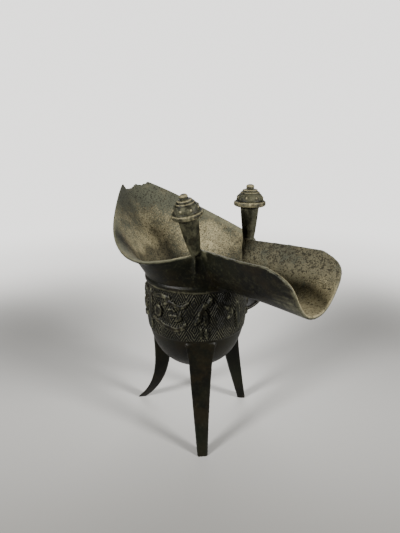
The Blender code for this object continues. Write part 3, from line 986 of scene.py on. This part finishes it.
capDust = 0.08 + (mottle * 0.4 + grain * 0.6).step(0.48, 0.57) * 0.70
outside = (capMask * capDust).mix(outside, patina["capDust"])
# wear on the caps' convex edges, with the painted highlight on their ridges
capWear = wornMask.step(0.25, 0.8) * (0.2 + grain.step(0.38, 0.6) * 0.6)
outside = (capMask * capWear).mix(outside, patina["insideOchre"])
# darker in the caps' hollows, with the painted shade in their grooves
outside = (capMask * hollowMask.step(0.05, 0.5) * 0.8).mix(outside, patina["dark"])

# inside: grey-green above, tan and ochre earth lower down, pitted dark all over, with painted shade on the
# near wall, behind the posts and down the throat
tailPart = w.sum("LESS_THAN", x, 0.020)
spoutPart = 1.0 - tailPart
tailLow = (1.0 - z.step(124.0, 156.0)) * tailPart
farWall = spoutPart * y.step(0.000, 0.015) * z.step(116.0, 131.0)
spoutEnd = x.step(0.060, 0.088) * spoutPart
# painted shade on the inside wall behind the posts
farSideShade = x.step(-0.022, 0.012) * tailPart
earth = blotch * 0.35 + mottle * 0.30 + grain * 0.35
earth = earth + tailLow * 0.08 - tailPart * 0.06 - farWall * 0.03 + spoutPart * 0.06 + spoutEnd * 0.03
within = earth.step(0.44, 0.56).mix(patina["insideGrey"], patina["insideTan"])
thick = big * 0.35 + blotch * 0.15 + grain * 0.50 + tailLow * 0.095 - farSideShade * 0.05
thick = thick - tailPart * 0.05 - farWall * 0.035 + spoutPart * 0.01 + spoutEnd * 0.05
within = (thick.step(0.495, 0.58) * 0.85).mix(within, patina["insideOchre"])
pits = (grain * 0.60 + speck * 0.40 + farWall * 0.045 - spoutPart * 0.02).step(0.505, 0.57)
within = (pits * 0.80).mix(within, patina["insideDark"])
shade = (mottle * 0.4 + big * 0.3 + grain * 0.3 + farWall * 0.07).step(0.50, 0.60)
within = (shade * 0.45).mix(within, patina["insideDark"])
# painted shade on the inside of the tail's near wall
nearWallShade = (1.0 - y.step(-0.014, -0.006)) * (1.0 - x.step(-0.052, -0.036))
within = (nearWallShade * 0.45).mix(within, patina["insideDark"])
# painted shade behind the posts, mottled
within = (farSideShade * (0.34 + mottle.step(0.4, 0.6) * 0.28)).mix(within, patina["insideDark"])
# painted shade deep down the throat
within = (mask("throatShade") * 0.7).mix(within, patina["insideDark"])
within = (hollowMask.step(0.2, 0.9) * 0.4).mix(within, patina["insideDark"])
within = (mask("lip") * (0.35 + mottle.step(0.4, 0.6) * 0.4)).mix(within, patina["worn"])

skin = insideMask.step(0.35, 0.65).mix(outside, within)
skin = (rimMask.step(0.3, 0.9) * (0.15 + mottle.step(0.35, 0.65) * 0.6)).mix(skin, patina["worn"])
w.feed(shader.inputs["Base Color"], skin)

rough = 0.46 + (grain - 0.5) * 0.4 + insideMask * 0.25 + groove * 0.2 + capMask * 0.15
w.feed(shader.inputs["Roughness"], rough)
shader.inputs["Metallic"].default_value = 0.0
shader.inputs["Specular IOR Level"].default_value = 0.13

relief = groove * -1.0 + (grain * 0.20 + speck * 0.10) * (0.6 + insideMask) + mottle * 0.25
bump = w.make("ShaderNodeBump", inputs={"Height": relief, "Distance": 0.00045, "Strength": 1.0})
w.feed(shader.inputs["Normal"], bump)
vessel.data.materials.clear()
vessel.data.materials.append(bronze)
print("bronze is patinated")

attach(vessel, "root")
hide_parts("jue_vessel")


# Floor, light and surroundings

studio = {
    "softboxes": (          # azimuth, elevation, size, power
        (-89.0, 27.0, 0.30, 28.0),
        (17.0, 27.0, 0.30, 28.0),
        (138.0, 40.0, 1.00, 9.0),
    ),
    "distance": 1.2,
    "ambient": 0.05,
    "backdrop": 2.05,
    "backdropColour": colour(1.0, 0.985, 0.955),
    "floorColour": colour(0.86, 0.845, 0.81),
    # painted shade: the paper is painted darker toward the camera, in place of light falling off
    "nearShadeColour": colour(0.132, 0.127, 0.114),
    # colour of the painted shadows on the paper
    "paintedShadowColour": colour(0.095, 0.093, 0.087),
    "fartherWay": (-0.77, 0.64, 0.0),
    "nearShadeOver": (-0.20, 0.30),
    "fadeFrom": 0.30,
    "fadeTo": 0.72,
    # painted shadows on the paper: where they lie, their size and their strength
    "paintedShadows": ((-0.24, -0.03), (0.0, 0.24)),
    "paintedShadowSize": 0.25,
    "paintedShadowShare": 0.75,
}

bpy.ops.mesh.primitive_circle_add(vertices=96, radius=4.0, fill_type="NGON")
floor = bpy.context.object
floor.name = "floor"
paper = bpy.data.materials.new("palePaper")
paper.use_nodes = True
f = Wire(paper.node_tree)
paperShader = paper.node_tree.nodes["Principled BSDF"]
paperShader.inputs["Roughness"].default_value = 0.85
paperShader.inputs["Specular IOR Level"].default_value = 0.2
spot = f.make("ShaderNodeTexCoord", output="Object")
away = f.make("ShaderNodeVectorMath", output="Value", inputs={0: spot}, operation="LENGTH")
backward = f.make(
    "ShaderNodeVectorMath",
    output="Value",
    inputs={0: spot, 1: studio["fartherWay"]},
    operation="DOT_PRODUCT",
)
# Painted shade: the paper darkens toward the camera.
paperWithPaintedShade = backward.step(*studio["nearShadeOver"]).mix(studio["nearShadeColour"], studio["floorColour"])
for paintedShadowAt in studio["paintedShadows"]:
    # Painted shadows: the paper is painted darker where the softboxes' shadows fall.
    off = f.make(
        "ShaderNodeVectorMath", output="Value", inputs={0: spot, 1: (*paintedShadowAt, 0.0)}, operation="DISTANCE"
    )
    paintedShadow = (1.0 - off.step(0.0, studio["paintedShadowSize"])) * studio["paintedShadowShare"]
    paperWithPaintedShade = paintedShadow.mix(paperWithPaintedShade, studio["paintedShadowColour"])
f.feed(paperShader.inputs["Base Color"], paperWithPaintedShade)


def backdropLight(tree):
    # The backdrop is bright to the camera alone, so that it doesn't flood the bronze.
    seen = tree.make("ShaderNodeLightPath", output="Is Camera Ray")
    return studio["ambient"] + seen * (studio["backdrop"] - studio["ambient"])


glow = f.make(
    "ShaderNodeEmission", inputs={"Color": studio["backdropColour"], "Strength": backdropLight(f)}
)
blend = f.make(
    "ShaderNodeMixShader",
    inputs={
        0: away.step(studio["fadeFrom"], studio["fadeTo"]),
        1: Wire(paper.node_tree, paperShader.outputs[0]),
        2: glow,
    },
)
f.feed(paper.node_tree.nodes["Material Output"].inputs["Surface"], blend)
floor.data.materials.append(paper)

world = bpy.data.worlds.new("studio")
world.use_nodes = True
sky = Wire(world.node_tree)
background = world.node_tree.nodes["Background"]
background.inputs["Color"].default_value = studio["backdropColour"]
sky.feed(background.inputs["Strength"], backdropLight(sky))
bpy.context.scene.world = world

for number, (azimuth, elevation, size, power) in enumerate(studio["softboxes"]):
    light = bpy.data.lights.new(f"softbox{number}", "AREA")
    light.shape = "DISK"
    light.size = size
    light.energy = power
    lamp = bpy.data.objects.new(f"softbox{number}", light)
    bpy.context.collection.objects.link(lamp)
    a = math.radians(azimuth)
    e = math.radians(elevation)
    out = Vector((math.cos(a) * math.cos(e), math.sin(a) * math.cos(e), math.sin(e)))
    lamp.location = out * studio["distance"]
    lamp.rotation_euler = (-out).to_track_quat("-Z", "Y").to_euler()
